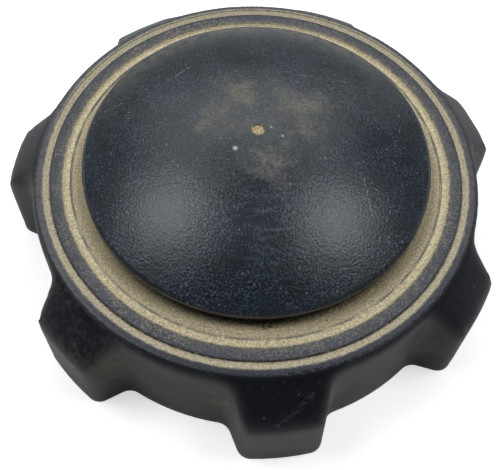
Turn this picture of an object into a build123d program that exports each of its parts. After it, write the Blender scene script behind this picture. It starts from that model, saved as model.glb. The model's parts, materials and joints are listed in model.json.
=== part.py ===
from build123d import *
import math
import os

# Screw-on fuel filler cap with seven grip lobes and a domed cover.
# Millimetres, +Z up.  The origin is on the turning axis, in the plane of the
# bottom edge, which is also the mouth of the threaded closure.
# A click ratchet lets the grip slip round the closure when the cap is tight,
# and a pressure valve and a vacuum valve breathe under the dome.

# ---- fit on the filler neck -------------------------------------------------
bore_radius = 30.25        # wall that carries the thread
bore_depth = 10.2          # threaded length, from the mouth to the gasket
gasket_thickness = 2.3
gasket_width = 6.2
gasket_clearance = 0.15    # radial gap on both sides of the gasket
thread_relief = 0.35       # step in from the thread wall to the gasket pocket

# ---- threaded closure -------------------------------------------------------
collar_wall = 2.75
closure_thickness = 2.2
flange_reach = 1.8         # flange beyond the collar
lip_width = 1.2            # upturned lip on the flange
lip_height = 1.5
retainer_wall = 1.4        # ring inside the gasket
upstand_wall = 1.2         # ring that keys the ratchet
rib_width = 1.6            # moulded ribs, closure and grip
closure_ribs = 6
closure_rib_drop = 1.7

# ---- click ratchet ----------------------------------------------------------
tooth_count = 24
tooth_height = 1.3
tooth_length = 4.6         # radial
tooth_gap = 0.1            # between the two sets of teeth, along the axis
tooth_side_gap = 0.4       # degrees, at the upright flanks
tooth_inset = 0.6          # from the ring's inner edge to its teeth
ratchet_width = 8.1
ratchet_thickness = 1.2
ratchet_clearance = 0.4    # radial, inside the flange lip
key_count = 4
key_width = 4.6
key_clearance = 0.3
wave_spring_height = 2.2
wave_spring_strip = 0.5
wave_spring_width = 4.0
wave_count = 4
wave_steps = 32

# ---- retaining ring ---------------------------------------------------------
turn_clearance = 0.2       # between the turning closure and what holds it
snap_thickness = 1.0
snap_bite = 1.0            # how far the ring sits in the rib notches
snap_clearance = 0.1
snap_inner_clearance = 0.3
snap_gap = 6.0             # the ring is split, to spring it in

# ---- grip shell -------------------------------------------------------------
grip_wall = 2.2
deck_thickness = 2.0
rib_depth = 2.25
rib_foot = 2.5             # ribs stop this far above the bottom edge
rib_lead = 1.5
side_draft = 3.0           # degrees, on every outer side of the skirt
lobe_count = 7
lobe_reach = 5.75          # from the pocket wall to the lobe's outer face
lobe_half_width = 6.8      # at the lobe's outer face, at the bottom edge
lobe_flank_angle = 17.0    # degrees, in plan
lobe_corner = 2.6          # plan radius of the lobe's corners, at the bottom edge
pocket_corner = 2.8        # plan radius where a lobe leaves the pocket wall
shoulder_drop = 6.35       # from the rim down to the lobe's outer face
shoulder_inset = 0.8       # the shoulder starts this far inside the pocket wall
rim_round = 1.0            # round between the rim and the shoulder

# ---- rings on top of the grip ----------------------------------------------
rim_rise = 0.5             # rim and raised band above the ledge
rim_width = 1.15
groove_width = 1.3
groove_depth = 0.2         # below the ledge
band_width = 2.2
step_width = 1.25
step_rise = 0.15
line_width = 0.35
line_depth = 0.5
ledge_width = 2.3

# ---- domed cover ------------------------------------------------------------
dome_gap = 2.5             # air gap between the ledge and the dome's edge
dome_edge = 1.2
dome_rise = 7.1
dome_wall = 1.8
dome_chamfer = 0.5
leg_count = 6
leg_span = 24.0            # degrees
leg_wall = 1.5
leg_clearance = 0.2
hook_reach = 1.0
hook_height = 1.2
hook_clearance = 0.6
spigot_wall = 1.2
spigot_inset = 1.6
spigot_vents = 8
spigot_vent_width = 5.0
spigot_vent_height = 1.4
gate_radius = 1.05
gate_depth = 0.25
filter_height = 2.6
filter_clearance = 0.3

# ---- pressure and vacuum valves ---------------------------------------------
stem_radius = 1.0
stem_clearance = 0.1
guide_wall = 0.8
guide_height = 2.0
plate_vents = 6
plate_vent_radius = 0.55
vent_margin = 0.35
seal_thickness = 1.2
seal_grip = 0.8            # depth of the plate's step inside the seal
seal_overlap = 0.8         # poppet head beyond the plate's step
seal_fit = 0.05
head_thickness = 1.4
port_clearance = 0.7
seat_offset = 0.3
seat_width = 0.6
seat_rise = 0.6
seal_margin = 0.9
plate_thickness = 1.4
plate_margin = 0.4
lug_count = 6
lug_reach = 0.4
lug_width = 3.0
lug_clearance = 0.3
tower_wall = 1.5
tower_boss_wall = 1.2
tower_boss_height = 3.0
tower_fit = 0.1
window_span = 24.0         # degrees
window_height = 1.7
window_drop = 2.0          # from the tower's top to the window
cap_flange = 1.2
cap_plug_wall = 1.2
latch_side_gap = 2.0       # degrees, each side of a latch in its window
cap_vents = 4
cap_vent_radius = 1.0
head_room = 1.6            # above the spring cap, under the dome
pressure_lift = 2.0
stem_room = 0.7
clip_thickness = 0.6
clip_width = 2.1
clip_groove = 0.3
pressure_coil_radius = 5.6
pressure_wire = 0.9
pressure_turns = 4
vacuum_coil_radius = 2.6
vacuum_wire = 0.5
vacuum_turns = 5
coil_steps = 12            # flats in one turn of a coil
baffle_wall = 1.0
baffle_radius = 10.6
baffle_height = 2.1
baffle_fit = 0.1
baffle_socket_wall = 1.2
baffle_slots = 6
baffle_slot_width = 3.2
baffle_slot_margin = 0.8

# ---- cutters ----------------------------------------------------------------
overrun = 1.0              # how far a cutter runs past the face that it opens

# ---- heights worked out from the stack --------------------------------------
closure_under = bore_depth + gasket_thickness
closure_top = closure_under + closure_thickness
ratchet_under = closure_top + wave_spring_height
ratchet_top = ratchet_under + ratchet_thickness
deck_under = ratchet_top + tooth_height + tooth_gap
deck_top = deck_under + deck_thickness
skirt_height = deck_top + rim_rise
shoulder_height = skirt_height - shoulder_drop
dome_lip = deck_top + dome_gap
dome_shoulder = dome_lip + dome_edge
dome_top = dome_shoulder + dome_rise

# ---- radii worked out from the neck outwards --------------------------------
side_slope = math.tan(math.radians(side_draft))
collar_radius = bore_radius + collar_wall
flange_radius = collar_radius + flange_reach
rib_face = flange_radius + turn_clearance
pocket_radius = rib_face + rib_depth + grip_wall
rim_radius = pocket_radius - shoulder_inset
pocket_foot = pocket_radius + skirt_height * side_slope
lobe_foot = pocket_foot + lobe_reach
lobe_radius = lobe_foot - shoulder_height * side_slope
groove_outer = rim_radius - rim_width
band_outer = groove_outer - groove_width
band_inner = band_outer - band_width
line_outer = band_inner - step_width
line_inner = line_outer - line_width
dome_radius = line_inner - ledge_width
crown_radius = (dome_radius ** 2 + dome_rise ** 2) / (2 * dome_rise)

# ---- radii worked out from the neck inwards ---------------------------------
gasket_pocket = bore_radius - thread_relief
gasket_outer = gasket_pocket - gasket_clearance
gasket_inner = gasket_outer - gasket_width
retainer_outer = gasket_inner - gasket_clearance
retainer_inner = retainer_outer - retainer_wall
lip_inner = flange_radius - lip_width
ratchet_outer = lip_inner - ratchet_clearance
ratchet_inner = ratchet_outer - ratchet_width
upstand_outer = ratchet_inner - key_clearance
upstand_inner = upstand_outer - upstand_wall
hook_radius = upstand_inner - hook_clearance
deck_hole = hook_radius - hook_reach
leg_outer = deck_hole - leg_clearance
leg_inner = leg_outer - leg_wall
tooth_inner = ratchet_inner + tooth_inset
tooth_outer = tooth_inner + tooth_length
tooth_pitch = 360 / tooth_count

# ---- radii of the valves, from the stem outwards ----------------------------
guide_bore = stem_radius + stem_clearance
guide_radius = guide_bore + guide_wall
vent_circle = guide_radius + vent_margin + plate_vent_radius
step_radius = vent_circle + plate_vent_radius + vent_margin
head_radius = step_radius + seal_overlap
port_radius = head_radius + port_clearance
seat_inner = port_radius + seat_offset
seat_outer = seat_inner + seat_width
seal_outer = seat_outer + seal_margin
plate_radius = seal_outer + plate_margin
lug_radius = plate_radius + lug_reach
tower_bore = lug_radius + lug_clearance
tower_radius = tower_bore + tower_wall
boss_radius = tower_bore + tower_boss_wall
tower_skirt_bore = boss_radius + tower_fit
tower_skirt_radius = tower_skirt_bore + tower_wall

# ---- heights of the valves --------------------------------------------------
seal_under = closure_top + seat_rise
plate_under = seal_under + seal_thickness
plate_top = plate_under + plate_thickness
boss_top = closure_top + tower_boss_height


def crown_height(radius):
    """Height of the dome's outer face at a radius."""
    return dome_top - crown_radius + math.sqrt(crown_radius ** 2 - radius ** 2)


cap_top = crown_height(tower_radius) - dome_wall - head_room
tower_top = cap_top - cap_flange
stem_top = tower_top - pressure_lift - stem_room
clip_top = stem_top - stem_room
clip_under = clip_top - clip_thickness


def turned(points, arc=360.0, start=0.0):
    """Solid turned about the Z axis from (radius, height) points."""
    profile = make_face(Polyline([(r, 0, z) for r, z in points], close=True))
    return Rot(0, 0, start) * revolve(profile, Axis.Z, arc)


def ring(inner, outer, bottom, top):
    """Plain ring, or a disc where the inner radius is zero."""
    return turned([(inner, bottom), (outer, bottom), (outer, top), (inner, top)])


def around(count, shape, first=0.0):
    """Copies of a shape, evenly spaced about the Z axis."""
    return [Rot(0, 0, first + k * 360 / count) * shape for k in range(count)]


def drilled(radius, bottom, top, x=0.0):
    """Cutter for a vertical hole."""
    return Pos(x, 0, bottom) * extrude(Circle(radius), top - bottom)


def block(x0, x1, width, bottom, top):
    """Box along +X, centred on Y."""
    return Pos((x0 + x1) / 2, 0, (bottom + top) / 2) * Box(x1 - x0, width, top - bottom)


# ---- grip shell -------------------------------------------------------------
def flank_centre(distance, offset):
    """Point at a distance from the axis, offset outwards from the +X flank of a lobe on +Y."""
    angle = math.radians(lobe_flank_angle)
    across = lobe_half_width * math.cos(angle) + lobe_foot * math.sin(angle) + offset
    along = math.sqrt(distance ** 2 - across ** 2)
    return Vector(across * math.cos(angle) - along * math.sin(angle),
                  across * math.sin(angle) + along * math.cos(angle))


def short_arc(centre, first, last):
    """The shorter arc about a centre between two points."""
    towards = (first - centre) + (last - centre)
    return ThreePointArc(first, centre + towards.normalized() * (first - centre).length, last)


def lobed_outline():
    """Plan outline of the grip's outer face at the bottom edge."""
    outwards = Vector(1, 0).rotate(Axis.Z, lobe_flank_angle)
    corner_centre = flank_centre(lobe_foot - lobe_corner, -lobe_corner)
    root_centre = flank_centre(pocket_foot + pocket_corner, pocket_corner)
    face_end = corner_centre * (lobe_foot / (lobe_foot - lobe_corner))
    flank_end = corner_centre + outwards * lobe_corner
    flank_foot = root_centre - outwards * pocket_corner
    pocket_end = root_centre * (pocket_foot / (pocket_foot + pocket_corner))
    last_end = Vector(-pocket_end.X, pocket_end.Y).rotate(Axis.Z, -360 / lobe_count)
    flank = [
        short_arc(root_centre, pocket_end, flank_foot),
        Line(flank_foot, flank_end),
        short_arc(corner_centre, flank_end, face_end),
    ]
    lobe = [short_arc(Vector(), last_end, pocket_end)] + flank
    lobe += [short_arc(Vector(), face_end, Vector(-face_end.X, face_end.Y))]
    lobe += [edge.mirror(Plane.YZ) for edge in reversed(flank)]
    return make_face(Curve() + around(lobe_count, Curve() + lobe, first=180))


def grip_top(inset, top, low):
    """Turned solid under the grip's deck and shoulder, inset on all sides."""
    fall = shoulder_drop / (lobe_radius - rim_radius)
    shoulder = skirt_height - inset * math.hypot(1, fall)
    reach = lobe_foot - inset - low * side_slope
    break_height = (shoulder + fall * (rim_radius - lobe_foot + inset)) / (1 - fall * side_slope)
    return turned([
        (0, low),
        (reach, low),
        (lobe_foot - inset - break_height * side_slope, break_height),
        (rim_radius + (shoulder - top) / fall, top),
        (0, top),
    ])


def grip_cavity(inset, top, low):
    """Solid that fills the grip's lobed inside up to a height."""
    angle = math.radians(lobe_flank_angle)
    root = pocket_radius / 2
    half = lobe_half_width - inset / math.cos(angle) - low * side_slope
    wedge = make_face(Polyline([
        (root, half + (lobe_foot - root) * math.tan(angle)),
        (root, -half - (lobe_foot - root) * math.tan(angle)),
        (lobe_foot + lobe_reach, -half + lobe_reach * math.tan(angle)),
        (lobe_foot + lobe_reach, half - lobe_reach * math.tan(angle)),
    ], close=True))
    wedge = Pos(0, 0, low) * extrude(wedge, skirt_height - low, taper=side_draft)
    pocket = turned([
        (0, low),
        (pocket_foot - inset - low * side_slope, low),
        (pocket_radius - inset, skirt_height),
        (0, skirt_height),
    ])
    return (pocket + around(lobe_count, wedge, first=-90)) & grip_top(inset, top, low)


def grip_rib(reach):
    """One rib on +X that centres the closure, with a lead-in at its foot."""
    return extrude(make_face(Polyline([
        (rib_face, 0, deck_under + deck_thickness / 2),
        (reach, 0, deck_under + deck_thickness / 2),
        (reach, 0, rib_foot),
        (rib_face + rib_lead, 0, rib_foot),
        (rib_face, 0, rib_foot + rib_lead),
    ], close=True)), rib_width / 2, both=True)


def ring_land():
    """Cutter that leaves the ledge, the fine line, the raised band and the rim."""
    step_top = deck_top + step_rise
    floor = deck_top - groove_depth
    above = skirt_height + overrun
    return turned([
        (0, above),
        (0, deck_top),
        (line_inner, deck_top),
        (line_inner, deck_top - line_depth),
        (line_outer, deck_top - line_depth),
        (line_outer, step_top),
        (band_inner, step_top),
        (band_inner, skirt_height),
        (band_outer, skirt_height),
        (band_outer, floor),
        (groove_outer, floor),
        (groove_outer, above),
    ])


def saw_tooth(upright, width, foot, tip, root):
    """Ratchet tooth, upright at one angle and sloping away over a width in degrees."""
    sections = []
    for radius in (tooth_inner, tooth_outer):
        points = [(upright, root), (upright, tip), (upright + width, foot), (upright + width, root)]
        sections.append(make_face(Polyline([
            (radius * math.cos(math.radians(a)), radius * math.sin(math.radians(a)), z)
            for a, z in points
        ], close=True)))
    return loft(sections, ruled=True)


def make_grip_shell():
    envelope = grip_top(0, skirt_height, 0)
    rim = envelope.edges().filter_by(GeomType.CIRCLE).group_by(Axis.Z)[-1]
    body = extrude(lobed_outline(), skirt_height, taper=side_draft)
    body &= fillet(rim, rim_round)
    body -= grip_cavity(grip_wall, deck_under, -overrun)
    ribs = around(lobe_count, grip_rib(lobe_foot), first=-90)
    ribs += around(lobe_count, grip_rib(pocket_foot), first=-90 + 180 / lobe_count)
    notch = ring(collar_radius, snap_outer + snap_clearance,
                 snap_under - snap_clearance, snap_top + snap_clearance)
    body += ((Part() + ribs) & grip_cavity(grip_wall / 2, deck_under + deck_thickness / 2, 0)) - notch
    tooth = saw_tooth(0, tooth_side_gap - tooth_pitch, deck_under, deck_under - tooth_height,
                      deck_under + deck_thickness / 4)
    body += around(tooth_count, tooth)
    body -= drilled(deck_hole, deck_under - tooth_height, skirt_height)
    return body - ring_land()


# ---- retaining ring ---------------------------------------------------------
snap_top = closure_under - turn_clearance
snap_under = snap_top - snap_thickness
snap_inner = collar_radius + snap_inner_clearance
snap_outer = rib_face + snap_bite


def make_retaining_ring():
    opening = math.degrees(snap_gap / snap_outer)
    section = [(snap_inner, snap_under), (snap_outer, snap_under),
               (snap_outer, snap_top), (snap_inner, snap_top)]
    return turned(section, 360 - opening, 90 + opening / 2)


# ---- domed cover and filter -------------------------------------------------
spigot_outer = dome_radius - spigot_inset
spigot_inner = spigot_outer - spigot_wall
hook_top = deck_under - snap_clearance


def make_dome_cover():
    edge = crown_height(dome_radius - dome_chamfer)
    lip_inner = dome_radius - dome_wall
    flat_radius = dome_radius / 3
    middle = dome_radius / 2
    crown = ThreePointArc((0, 0, dome_top), (middle, 0, crown_height(middle)),
                          (dome_radius - dome_chamfer, 0, edge))
    rest = Polyline([
        (dome_radius - dome_chamfer, 0, edge),
        (dome_radius, 0, edge - dome_chamfer),
        (dome_radius, 0, dome_lip),
        (lip_inner, 0, dome_lip),
        (lip_inner, 0, crown_height(lip_inner) - dome_wall),
        (flat_radius, 0, crown_height(flat_radius) - dome_wall),
        (0, 0, crown_height(flat_radius) - dome_wall),
        (0, 0, dome_top),
    ])
    cover = revolve(make_face(Curve() + [crown, rest]), Axis.Z, 360)
    leg_root = crown_height(leg_outer) - dome_wall / 2
    leg = turned([
        (leg_inner, hook_top - hook_height),
        (leg_outer, hook_top - hook_height),
        (hook_radius, hook_top - hook_height / 3),
        (hook_radius, hook_top),
        (leg_outer, hook_top),
        (leg_outer, leg_root),
        (leg_inner, leg_root),
    ], leg_span, -leg_span / 2)
    spigot = ring(spigot_inner, spigot_outer, deck_top, crown_height(spigot_outer) - dome_wall / 2)
    vent = block(spigot_inner - overrun, spigot_outer + overrun, spigot_vent_width,
                 deck_top - overrun, deck_top + spigot_vent_height)
    spigot -= around(spigot_vents, vent)
    cover += [spigot] + around(leg_count, leg, first=30)
    gate = drilled(gate_radius, dome_top - gate_depth, dome_top + overrun)
    return cover - gate


def make_filter_ring():
    return ring(deck_hole + filter_clearance, spigot_inner - filter_clearance,
                deck_top, deck_top + filter_height)


# ---- threaded closure -------------------------------------------------------
upstand_top = deck_under - hook_height / 2
socket_inner = baffle_radius + baffle_fit
socket_outer = socket_inner + baffle_socket_wall
socket_under = closure_under - closure_rib_drop


def make_threaded_closure():
    body = turned([
        (bore_radius, 0),
        (collar_radius, 0),
        (collar_radius, closure_under),
        (flange_radius, closure_under),
        (flange_radius, closure_top + lip_height),
        (lip_inner, closure_top + lip_height),
        (lip_inner, closure_top),
        (port_radius, closure_top),
        (port_radius, closure_under),
        (gasket_pocket, closure_under),
        (gasket_pocket, bore_depth),
        (bore_radius, bore_depth),
    ])
    overlap = closure_thickness / 2
    upstand = ring(upstand_inner, upstand_outer, closure_top - overlap, upstand_top)
    slot = block(upstand_inner - overrun, upstand_outer + overrun, key_width + key_clearance,
                 closure_top, upstand_top + overrun)
    body += upstand - around(key_count, slot, first=45)
    body += ring(tower_bore, boss_radius, closure_top - overlap, boss_top)
    body += ring(seat_inner, seat_outer, closure_top - overlap, seal_under)
    body += ring(retainer_inner, retainer_outer, bore_depth, closure_under + overlap)
    body += ring(socket_inner, socket_outer, socket_under, closure_under + overlap)
    rib = block(socket_outer - baffle_socket_wall / 2, retainer_inner + retainer_wall / 2, rib_width,
                socket_under, closure_under + overlap)
    body += around(closure_ribs, rib, first=30)
    return body


def make_neck_gasket():
    return ring(gasket_inner, gasket_outer, bore_depth, closure_under)


# ---- ratchet ring and its spring --------------------------------------------
def make_ratchet_ring():
    body = ring(ratchet_inner, ratchet_outer, ratchet_under, ratchet_top)
    tooth = saw_tooth(tooth_side_gap, tooth_pitch - tooth_side_gap, ratchet_top, ratchet_top + tooth_height,
                      ratchet_top - ratchet_thickness / 4)
    key = block(upstand_inner + key_clearance, ratchet_inner + tooth_inset / 2, key_width,
                ratchet_under, ratchet_top)
    body += around(tooth_count, tooth)
    return body + around(key_count, key, first=45)


def wave_section(turn):
    """Cut through the wave spring at a share of the full turn."""
    angle = 2 * math.pi * turn
    inner = upstand_outer + (lip_inner - upstand_outer - wave_spring_width) / 2
    travel = (wave_spring_height - wave_spring_strip) / 2
    middle = closure_top + wave_spring_height / 2 + travel * math.cos(wave_count * angle)
    corners = [(inner, -1), (inner + wave_spring_width, -1), (inner + wave_spring_width, 1), (inner, 1)]
    return make_face(Polyline([
        (r * math.cos(angle), r * math.sin(angle), middle + side * wave_spring_strip / 2)
        for r, side in corners
    ], close=True))


def make_wave_spring():
    half = wave_steps // 2
    first = loft([wave_section(k / wave_steps) for k in range(half + 1)], ruled=True)
    second = loft([wave_section(k / wave_steps) for k in range(half, wave_steps + 1)], ruled=True)
    return first + second


# ---- valves -----------------------------------------------------------------
def make_valve_housing():
    shoulder = boss_top + tower_wall / 2
    body = turned([
        (tower_bore, boss_top),
        (tower_skirt_bore, boss_top),
        (tower_skirt_bore, closure_top),
        (tower_skirt_radius, closure_top),
        (tower_skirt_radius, shoulder),
        (tower_radius, shoulder + tower_skirt_radius - tower_radius),
        (tower_radius, tower_top),
        (tower_bore, tower_top),
    ])
    window = turned([
        (tower_bore - overrun, window_top - window_height),
        (tower_radius + overrun, window_top - window_height),
        (tower_radius + overrun, window_top),
        (tower_bore - overrun, window_top),
    ], window_span, -window_span / 2)
    return body - around(3, window)


window_top = tower_top - window_drop
plug_radius = tower_bore - tower_fit
plug_inner = plug_radius - cap_plug_wall


def make_spring_cap():
    body = ring(0, tower_radius, tower_top, cap_top)
    body += ring(plug_inner, plug_radius, tower_top - window_drop / 2, tower_top)
    latch_top = window_top - tower_fit
    latch_under = window_top - window_height
    tongue_span = window_span - 2 * latch_side_gap
    tongue = turned([
        (plug_inner, latch_under),
        (plug_radius, latch_under),
        (tower_bore + tower_wall / 2, latch_top - window_height / 3),
        (tower_bore + tower_wall / 2, latch_top),
        (plug_radius, latch_top),
        (plug_radius, tower_top),
        (plug_inner, tower_top),
    ], tongue_span, -tongue_span / 2)
    body += around(3, tongue)
    vent = drilled(cap_vent_radius, tower_top - overrun, cap_top + overrun, (guide_radius + plug_inner) / 2)
    return body - around(cap_vents, vent, first=45)


def make_pressure_plate():
    body = turned([
        (guide_bore, plate_under - seal_grip),
        (step_radius, plate_under - seal_grip),
        (step_radius, plate_under),
        (plate_radius, plate_under),
        (plate_radius, plate_top),
        (guide_radius, plate_top),
        (guide_radius, plate_top + guide_height),
        (guide_bore, plate_top + guide_height),
    ])
    lug = block(plate_radius - plate_margin, lug_radius, lug_width, plate_under, plate_top)
    body += around(lug_count, lug)
    vent = drilled(plate_vent_radius, plate_under - seal_grip - overrun, plate_top + overrun, vent_circle)
    return body - around(plate_vents, vent)


def make_pressure_seal():
    return ring(step_radius + seal_fit, seal_outer, seal_under, plate_under)


def make_vacuum_poppet():
    lip = seal_overlap / 2
    head_under = seal_under - head_thickness
    return turned([
        (0, head_under),
        (head_radius, head_under),
        (head_radius, seal_under),
        (head_radius - lip, seal_under),
        (head_radius - lip, seal_under - lip),
        (2 * stem_radius, seal_under - lip),
        (stem_radius, seal_under),
        (stem_radius, clip_under),
        (stem_radius - clip_groove, clip_under),
        (stem_radius - clip_groove, clip_top),
        (stem_radius, clip_top),
        (stem_radius, stem_top - clip_groove),
        (stem_radius - clip_groove, stem_top),
        (0, stem_top),
    ])


def make_vacuum_spring_clip():
    inner = stem_radius - clip_groove + seal_fit
    body = ring(inner, stem_radius + clip_width, clip_under, clip_top)
    mouth = block(0, stem_radius + clip_width + overrun, 2 * inner - clip_groove,
                  clip_under - overrun, clip_top + overrun)
    return body - mouth


def coil_spring(radius, wire, turns, bottom, top):
    """Coil spring between two heights, its round wire drawn with six sides."""
    rise = (top - bottom - wire) / turns
    lean = math.atan2(rise, 2 * math.pi * radius)
    sections = []
    for k in range(turns * coil_steps + 1):
        turn = k / coil_steps
        middle = Pos(0, 0, bottom + wire / 2 + rise * turn) * Rot(0, 0, 360 * turn) * Pos(radius, 0, 0)
        tilt = Rot(90 + math.degrees(lean), 0, 0)
        sections.append(middle * tilt * RegularPolygon(wire / 2, 6, rotation=30))
    return loft(sections, ruled=True)


def make_splash_baffle():
    bottom = closure_under - baffle_height
    body = turned([
        (0, bottom),
        (baffle_radius, bottom),
        (baffle_radius, closure_under),
        (baffle_radius - baffle_wall, closure_under),
        (baffle_radius - baffle_wall, bottom + baffle_wall),
        (0, bottom + baffle_wall),
    ])
    slot = block(head_radius + baffle_slot_margin, baffle_radius - baffle_wall - baffle_slot_margin,
                 baffle_slot_width, bottom - overrun, bottom + baffle_wall + overrun)
    return body - around(baffle_slots, slot)


def main():
    nodes = {
        "grip_shell": make_grip_shell(),
        "dome_cover": make_dome_cover(),
        "filter_ring": make_filter_ring(),
        "retaining_ring": make_retaining_ring(),
        "threaded_closure": make_threaded_closure(),
        "neck_gasket": make_neck_gasket(),
        "ratchet_ring": make_ratchet_ring(),
        "wave_spring": make_wave_spring(),
        "valve_housing": make_valve_housing(),
        "spring_cap": make_spring_cap(),
        "pressure_plate": make_pressure_plate(),
        "pressure_seal": make_pressure_seal(),
        "pressure_spring": coil_spring(pressure_coil_radius, pressure_wire, pressure_turns,
                                       plate_top, tower_top),
        "vacuum_poppet": make_vacuum_poppet(),
        "vacuum_spring": coil_spring(vacuum_coil_radius, vacuum_wire, vacuum_turns,
                                     plate_top, clip_under),
        "vacuum_spring_clip": make_vacuum_spring_clip(),
        "splash_baffle": make_splash_baffle(),
    }
    os.makedirs("parts", exist_ok=True)
    for name, shape in nodes.items():
        export_step(shape, f"parts/{name}.step")


main()
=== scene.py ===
# %% [markdown]
# # A screw-on fuel filler cap
# The cap is a moulded plastic part with seven grip lobes, a domed cover and
# flat rings between them.  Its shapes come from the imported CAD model, so this
# lesson is about finishes: sparked plastic, road dust, wear and scratches.
# Everything is in metres, with +Z up along the turning axis.  The main idea is
# that dirt and wear follow how a part is used, so each coat of colour has a
# reason: where dust settles, where hands rub, and where a tool has slipped.

# %% Load the frame
import json
import math

import bmesh
import bpy
from mathutils import Euler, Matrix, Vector
from mathutils.bvhtree import BVHTree


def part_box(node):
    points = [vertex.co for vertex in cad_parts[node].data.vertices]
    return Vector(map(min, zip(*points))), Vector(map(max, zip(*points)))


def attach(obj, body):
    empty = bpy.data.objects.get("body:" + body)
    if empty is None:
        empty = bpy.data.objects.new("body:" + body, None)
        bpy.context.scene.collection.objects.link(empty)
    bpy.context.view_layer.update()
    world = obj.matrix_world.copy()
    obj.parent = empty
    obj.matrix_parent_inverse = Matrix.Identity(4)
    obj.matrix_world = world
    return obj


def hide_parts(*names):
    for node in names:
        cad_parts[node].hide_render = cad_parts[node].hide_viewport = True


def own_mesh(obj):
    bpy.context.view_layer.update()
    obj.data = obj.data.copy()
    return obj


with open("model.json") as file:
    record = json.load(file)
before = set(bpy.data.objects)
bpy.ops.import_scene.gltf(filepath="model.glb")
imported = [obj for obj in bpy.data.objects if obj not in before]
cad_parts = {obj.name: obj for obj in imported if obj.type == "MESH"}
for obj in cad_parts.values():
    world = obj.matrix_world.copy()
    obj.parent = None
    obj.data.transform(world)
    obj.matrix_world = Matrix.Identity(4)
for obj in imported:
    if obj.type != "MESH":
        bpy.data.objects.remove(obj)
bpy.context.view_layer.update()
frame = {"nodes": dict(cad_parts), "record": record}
nodes = frame["nodes"]
MM = 0.001
print("nodes:", sorted(nodes))

# %% [markdown]
# ## Sizes read from the frame
# A finish that follows the rings needs their radii.  Each name below is the
# ring that ends at that radius.  Heights come from the nodes' own boxes, so they
# stay right if the CAD part changes.

# %% Ring radii and heights
RINGS_MM = {
    "dome": 30.1, "ledge": 32.4, "line": 32.75, "step": 34.0,
    "band": 36.2, "groove": 37.5, "rim": 38.65,
}
RIM_HEIGHT_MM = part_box("grip_shell")[1].z / MM
DOME_TOP_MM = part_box("dome_cover")[1].z / MM
print("rim height mm:", round(RIM_HEIGHT_MM, 2), "dome top mm:", round(DOME_TOP_MM, 2))

# %% [markdown]
# ## Two small helpers
# Colours are written as sRGB hex values, as a paint chart gives them, and one
# function turns them to the linear values that the shader works in.  One
# function adds a shader node with its settings and links, and hands back one
# of its outputs, so that a chain of nodes reads like a sum.  Nodes could be
# placed by hand in the editor instead, but a script can be read and repeated.

# %% Colour and node helpers
def linear(code):
    """Linear RGBA from an sRGB hex colour."""
    parts = [int(code[k:k + 2], 16) / 255 for k in (1, 3, 5)]
    return [p / 12.92 if p <= 0.04045 else ((p + 0.055) / 1.055) ** 2.4 for p in parts] + [1.0]


def add(tree, kind, inputs=None, output=0, stops=None, **settings):
    """Adds a node and returns one output. Inputs are values or sockets; stops fill a ramp."""
    node = tree.nodes.new(kind)
    for name, value in settings.items():
        setattr(node, name, value)
    if stops:
        ramp = node.color_ramp
        while len(ramp.elements) < len(stops):
            ramp.elements.new(1.0)
        for element, (place, colour) in zip(ramp.elements, stops):
            element.position = place
            element.color = linear(colour) if isinstance(colour, str) else [colour] * 3 + [1.0]
    for key, value in (inputs or {}).items():
        if isinstance(value, bpy.types.NodeSocket):
            tree.links.new(value, node.inputs[key])
        else:
            node.inputs[key].default_value = value
    return node.outputs[output] if node.outputs else node


def new_material(name):
    """Empty material: its node tree and its principled shader."""
    material = bpy.data.materials.new(name)
    material.use_nodes = True
    return material, material.node_tree, material.node_tree.nodes["Principled BSDF"]


def finish_nodes(names, material):
    """Gives CAD nodes one material in every slot."""
    for name in names:
        for slot in nodes[name].material_slots:
            slot.material = material
    print(material.name, "on", ", ".join(names))


print("mid grey #808080 is linear", round(linear("#808080")[0], 3))

# %% [markdown]
# ## Camera
# The cap is looked down on from about 60 degrees, a little to the left of one
# lobe, and from close by, so the near lobes look larger than the far ones.

# %% Camera
CAMERA_PLACE_MM = (-10.243, -71.345, 127.926)
CAMERA_TURN_DEG = (28.611, -1.068, -5.680)
LENS_MM, SENSOR_MM, NEAREST_SEEN_MM = 51.876, 36.0, 5.0
camera_data = bpy.data.cameras.new("camera")
camera_data.lens = LENS_MM
camera_data.sensor_width = SENSOR_MM
camera_data.clip_start = NEAREST_SEEN_MM * MM
camera = bpy.data.objects.new("camera", camera_data)
camera.location = [v * MM for v in CAMERA_PLACE_MM]
camera.rotation_euler = Euler([math.radians(a) for a in CAMERA_TURN_DEG])
bpy.context.collection.objects.link(camera)
bpy.context.scene.camera = camera
bpy.context.scene.view_settings.view_transform = "Standard"
print("camera mm:", CAMERA_PLACE_MM)

# %% [markdown]
# ## Floor and light
# Two soft lamps stand high at the left and the right and give the dome its two
# broad sheens.  A wide panel behind and above joins them, and the world is dim,
# so the shoulders that face the viewer stay nearly black.  The floor is one
# mesh with a round wall, which is white behind the cap from every side.  A plain
# plane would be simpler, but its far edge shows as a grey horizon in low views.

# %% Floor with a round backdrop
FLOOR_REACH, WALL_HEIGHT, WALL_SIDES = 5.0, 2.6, 64  # metres, metres, count
turns = [math.tau * k / WALL_SIDES for k in range(WALL_SIDES)]
corners = [(FLOOR_REACH * math.cos(a), FLOOR_REACH * math.sin(a)) for a in turns]
stage_points = [(x, y, 0.0) for x, y in corners] + [(x, y, WALL_HEIGHT) for x, y in corners]
neighbours = [(k, (k + 1) % WALL_SIDES) for k in range(WALL_SIDES)]
wall = [(after, k, WALL_SIDES + k, WALL_SIDES + after) for k, after in neighbours]
floor_mesh = bpy.data.meshes.new("floor")
floor_mesh.from_pydata(stage_points, [], [tuple(range(WALL_SIDES))] + wall)
floor = bpy.data.objects.new("floor", floor_mesh)
bpy.context.collection.objects.link(floor)
floor_paint, tree, shader = new_material("matt_white_table")
shader.inputs["Base Color"].default_value = linear("#f7f5f0")
shader.inputs["Roughness"].default_value = 0.9
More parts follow.
